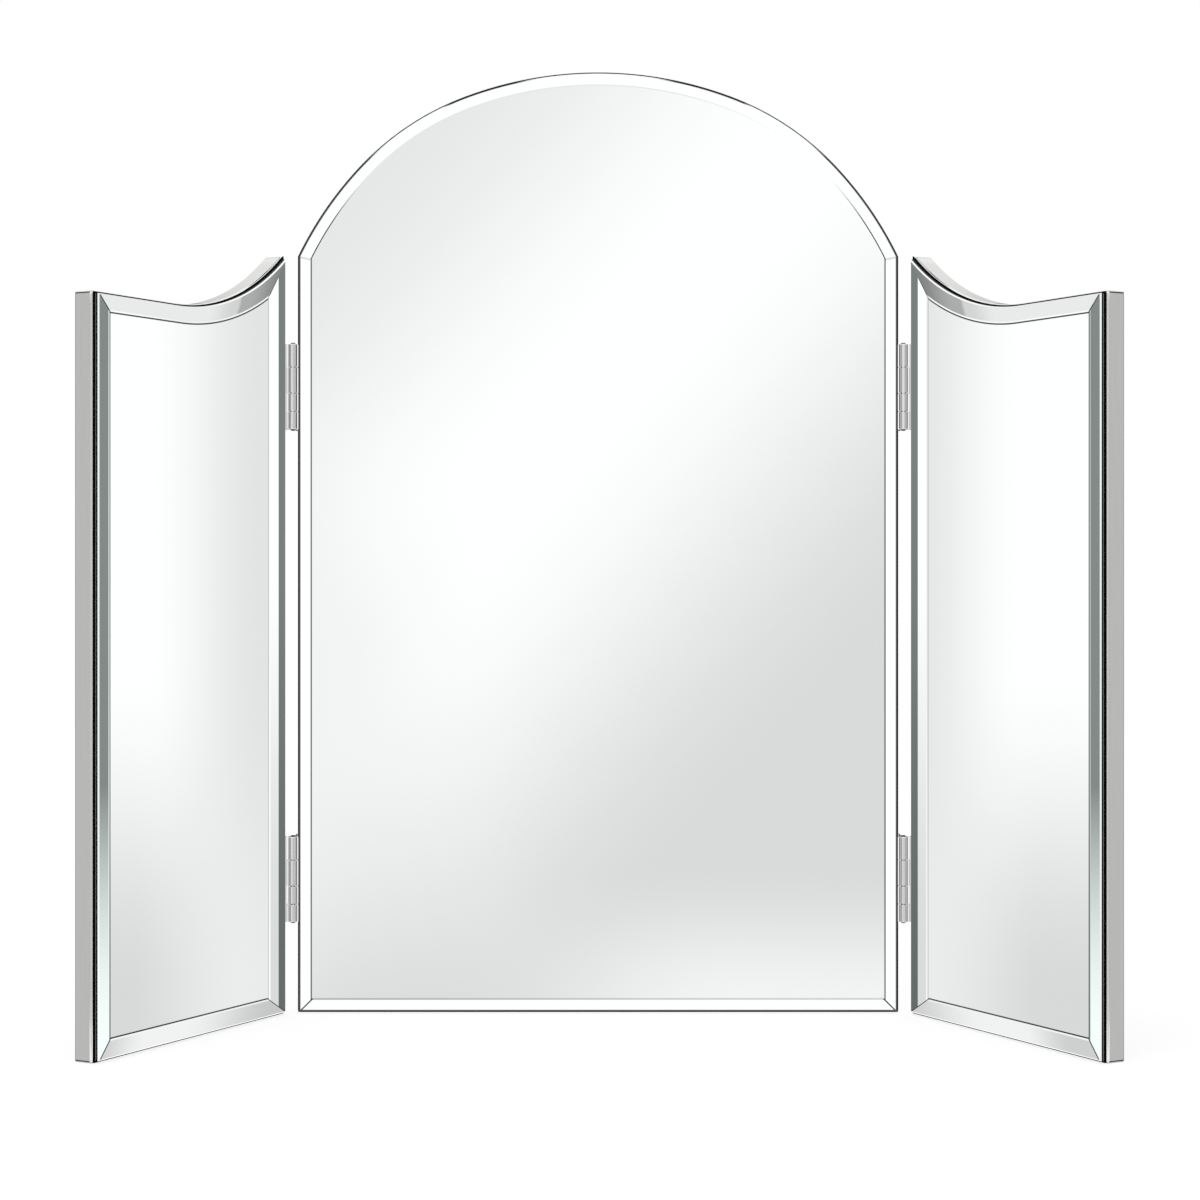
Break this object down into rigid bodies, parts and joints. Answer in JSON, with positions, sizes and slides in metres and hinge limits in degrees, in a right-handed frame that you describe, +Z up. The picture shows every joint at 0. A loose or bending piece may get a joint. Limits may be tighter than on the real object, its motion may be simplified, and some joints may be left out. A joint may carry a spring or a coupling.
{
  "type": "triple dressing table mirror",
  "caption": "Free-standing triple dressing table mirror: arched centre and swept folding wings, bevelled glass on polished metal trays.",
  "frame": {"origin": "middle of the bottom face of the centre tray, halfway along its length and its depth", "axes": "+Z up, mirrors face -Y, +X towards the right-hand wing as the user faces the mirror"},
  "size_m": [0.7812, 0.2444, 0.7819],
  "materials": {
    "tray_metal": "polished edges, fine satin sides",
    "bevelled_glass": "clear, bevelled, ground edge with a green tint",
    "silvering": "silvered and painted on the rear",
    "hinge_chrome": "bright chrome",
    "core_board": "raw fibreboard",
    "foam_tape": "black foam sheet, sticky on both faces",
    "back_board": "hardboard painted matt black",
    "screw_steel": "blackened"
  },
  "bodies": {
    "centre": {"centre_back": "back_board", "centre_back_screws": "screw_steel", "centre_core": "core_board", "centre_glass": "bevelled_glass", "centre_silvering": "silvering", "centre_tape": "foam_tape", "centre_tray": "tray_metal", "left_lower_hinge_centre_leaf": "hinge_chrome", "left_lower_hinge_centre_screws": "hinge_chrome", "left_lower_hinge_pin": "hinge_chrome", "left_upper_hinge_centre_leaf": "hinge_chrome", "left_upper_hinge_centre_screws": "hinge_chrome", "left_upper_hinge_pin": "hinge_chrome", "right_lower_hinge_centre_leaf": "hinge_chrome", "right_lower_hinge_centre_screws": "hinge_chrome", "right_lower_hinge_pin": "hinge_chrome", "right_upper_hinge_centre_leaf": "hinge_chrome", "right_upper_hinge_centre_screws": "hinge_chrome", "right_upper_hinge_pin": "hinge_chrome"},
    "left_wing": {"left_lower_hinge_wing_leaf": "hinge_chrome", "left_lower_hinge_wing_screws": "hinge_chrome", "left_upper_hinge_wing_leaf": "hinge_chrome", "left_upper_hinge_wing_screws": "hinge_chrome", "left_wing_back": "back_board", "left_wing_back_screws": "screw_steel", "left_wing_core": "core_board", "left_wing_glass": "bevelled_glass", "left_wing_silvering": "silvering", "left_wing_tape": "foam_tape", "left_wing_tray": "tray_metal"},
    "right_wing": {"right_lower_hinge_wing_leaf": "hinge_chrome", "right_lower_hinge_wing_screws": "hinge_chrome", "right_upper_hinge_wing_leaf": "hinge_chrome", "right_upper_hinge_wing_screws": "hinge_chrome", "right_wing_back": "back_board", "right_wing_back_screws": "screw_steel", "right_wing_core": "core_board", "right_wing_glass": "bevelled_glass", "right_wing_silvering": "silvering", "right_wing_tape": "foam_tape", "right_wing_tray": "tray_metal"}
  },
  "joints": [
    {"name": "left_wing_hinge", "type": "hinge", "parent": "centre", "child": "left_wing", "pos_m": [-0.2526, -0.0163, 0.31575], "axis": [0, 0, 1], "range_deg": [-62.3, 117.7]},
    {"name": "right_wing_hinge", "type": "hinge", "parent": "centre", "child": "right_wing", "pos_m": [0.2526, -0.0163, 0.31575], "axis": [0, 0, 1], "range_deg": [-117.7, 62.3]}
  ]
}
